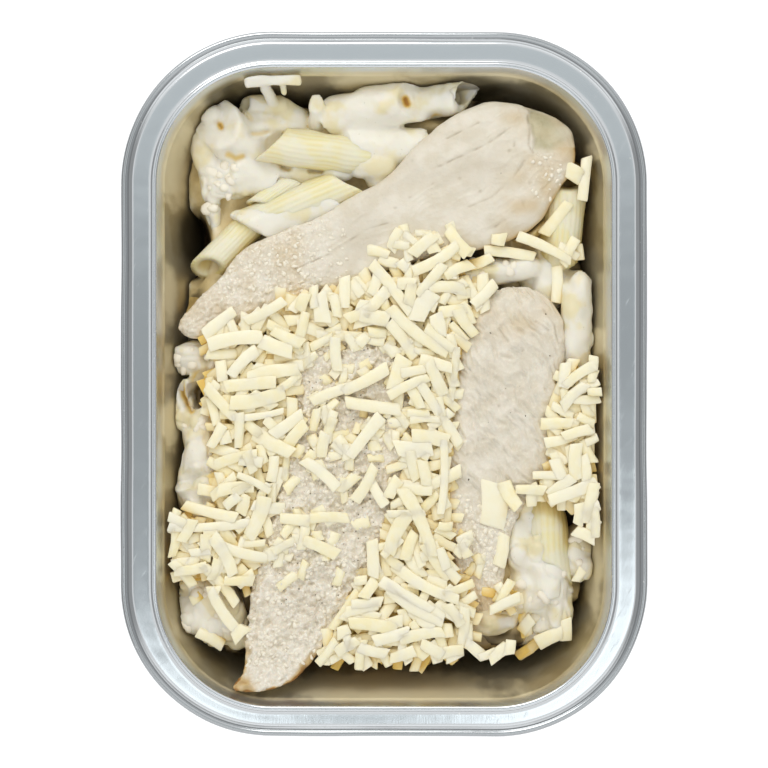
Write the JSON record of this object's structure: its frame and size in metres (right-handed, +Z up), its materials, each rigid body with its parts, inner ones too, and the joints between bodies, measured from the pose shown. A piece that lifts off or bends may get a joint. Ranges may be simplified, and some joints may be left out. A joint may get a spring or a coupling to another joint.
{
  "type": "foil tray meal",
  "caption": "Pasta meal in a smooth-wall foil tray: pasta tubes in white sauce, topped with pieces of chicken breast and grated cheese.",
  "frame": {"origin": "centre of the tray's flat base, where it rests on the table", "axes": "+Z up out of the tray's open top, +Y along its length, +X across its width"},
  "size_m": [0.1422, 0.19, 0.04],
  "materials": {
    "foil": "smooth bright foil with light scuffs",
    "pasta_and_sauce": "moist cooked pasta under a thin white sauce",
    "cheese": "pale cheese, slightly waxy",
    "chicken": "cooked breast meat, cut across its fibres, dry to moist"
  },
  "bodies": {
    "root": {"tray": "foil", "pasta_in_sauce": "pasta_and_sauce", "grated_cheese": "cheese", "chicken_long": "chicken", "chicken_left": "chicken", "chicken_right": "chicken"}
  },
  "joints": []
}
